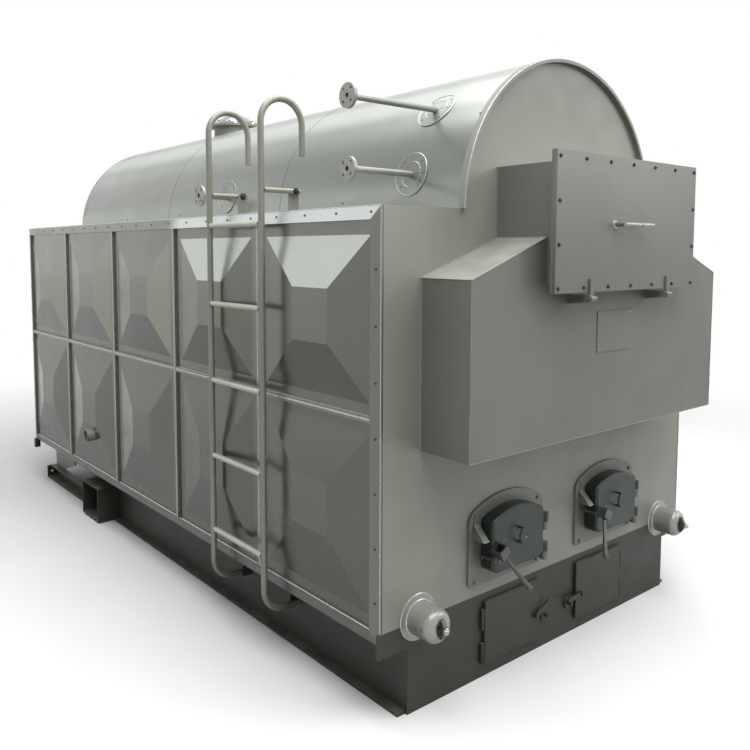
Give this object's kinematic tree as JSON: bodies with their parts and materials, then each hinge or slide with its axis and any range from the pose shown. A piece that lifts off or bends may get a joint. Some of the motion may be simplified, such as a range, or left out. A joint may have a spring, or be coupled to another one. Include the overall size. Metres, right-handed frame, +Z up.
{
  "type": "industrial steam boiler",
  "caption": "Horizontal hand-fired steam boiler: round-topped housing with embossed side covers, front smoke box, hinged fire and ash doors, ladder, pipe stubs and a dark base.",
  "frame": {"origin": "on the ground under the middle of the housing, in the flat face the base rests on", "axes": "+Z up; -Y towards the fire doors; +X to the right as seen from the front"},
  "size_m": [2.1505, 4.4583, 2.6653],
  "materials": {
    "silver_paint": "satin silver-grey paint",
    "jacket_sheet": "satin silver-grey paint on thin sheet",
    "cover_sheet": "glossy silver-grey paint on pressed sheet",
    "bright_trim": "bright silver strip",
    "base_paint": "dark green-grey paint",
    "door_iron": "dark slate paint on castings",
    "ladder_paint": "silver-grey paint",
    "pipe_paint": "silver-grey paint",
    "bare_steel": "bare bright steel",
    "boiler_plate": "grey primer on boiler plate",
    "grate_iron": "rough cast iron",
    "firebrick": "matt firebrick and insulation"
  },
  "bodies": {
    "boiler": {"air_duct": "base_paint", "base_front": "base_paint", "base_pan": "base_paint", "base_side_left": "base_paint", "base_side_right": "base_paint", "boiler_drum": "boiler_plate", "drum_jacket_front": "jacket_sheet", "drum_jacket_middle": "jacket_sheet", "drum_jacket_rear": "jacket_sheet", "fire_door_frame_left": "silver_paint", "fire_door_frame_right": "silver_paint", "front_plate": "silver_paint", "gauge_pipe_lower": "pipe_paint", "gauge_pipe_upper": "pipe_paint", "grate": "grate_iron", "hand_hole_yokes": "bare_steel", "header_nozzles": "silver_paint", "hearth": "firebrick", "ladder_foot_tabs": "base_paint", "ladder_rails": "ladder_paint", "ladder_rungs": "ladder_paint", "ladder_stays": "ladder_paint", "manhole_cover": "bare_steel", "manhole_neck": "boiler_plate", "pipe_rosettes": "jacket_sheet", "rear_legs": "silver_paint", "rear_plate": "silver_paint", "rear_rails": "base_paint", "rear_side_pipe": "pipe_paint", "roof_strips": "silver_paint", "side_covers_left": "cover_sheet", "side_covers_right": "cover_sheet", "side_stub_pipe": "pipe_paint", "side_trim_left": "bright_trim", "side_trim_right": "bright_trim", "smoke_box_lower": "silver_paint", "smoke_box_upper": "silver_paint", "wall_left": "firebrick", "wall_right": "firebrick"},
    "fire_door_left": {"fire_door_left": "door_iron"},
    "fire_door_right": {"fire_door_right": "door_iron"},
    "fire_latch_left": {"fire_latch_left": "door_iron"},
    "fire_latch_right": {"fire_latch_right": "door_iron"},
    "ash_door_left": {"ash_door_left": "base_paint"},
    "ash_door_right": {"ash_door_right": "base_paint"},
    "ash_latch_left": {"ash_latch_left": "door_iron"},
    "ash_latch_right": {"ash_latch_right": "door_iron"},
    "smoke_box_cover": {"smoke_box_cover": "silver_paint"}
  },
  "joints": [
    {"name": "fire_door_left_hinge", "type": "hinge", "parent": "boiler", "child": "fire_door_left", "pos_m": [-0.155, -2.05, 0.52], "axis": [0, 0, 1], "range_deg": [0, 115]},
    {"name": "fire_door_right_hinge", "type": "hinge", "parent": "boiler", "child": "fire_door_right", "pos_m": [0.545, -2.05, 0.52], "axis": [0, 0, 1], "range_deg": [0, 115]},
    {"name": "fire_latch_left_pivot", "type": "hinge", "parent": "fire_door_left", "child": "fire_latch_left", "pos_m": [-0.498, -2.1033, 0.56], "axis": [0, -1, 0], "range_deg": [-85, 0]},
    {"name": "fire_latch_right_pivot", "type": "hinge", "parent": "fire_door_right", "child": "fire_latch_right", "pos_m": [0.202, -2.1033, 0.56], "axis": [0, -1, 0], "range_deg": [-23, 62]},
    {"name": "ash_door_left_hinge", "type": "hinge", "parent": "boiler", "child": "ash_door_left", "pos_m": [-0.493, -2.009, 0.16], "axis": [0, 0, -1], "range_deg": [0, 110]},
    {"name": "ash_door_right_hinge", "type": "hinge", "parent": "boiler", "child": "ash_door_right", "pos_m": [0.493, -2.009, 0.16], "axis": [0, 0, 1], "range_deg": [0, 110]},
    {"name": "ash_latch_left_pivot", "type": "hinge", "parent": "ash_door_left", "child": "ash_latch_left", "pos_m": [-0.165, -2.025, 0.17], "axis": [0, 1, 0], "range_deg": [-60, 23]},
    {"name": "ash_latch_right_pivot", "type": "hinge", "parent": "ash_door_right", "child": "ash_latch_right", "pos_m": [0.165, -2.025, 0.17], "axis": [0, -1, 0], "range_deg": [-80, 0]},
    {"name": "smoke_box_cover_hinge", "type": "hinge", "parent": "boiler", "child": "smoke_box_cover", "pos_m": [0, -2.3363, 1.551], "axis": [1, 0, 0], "range_deg": [0, 175]}
  ]
}
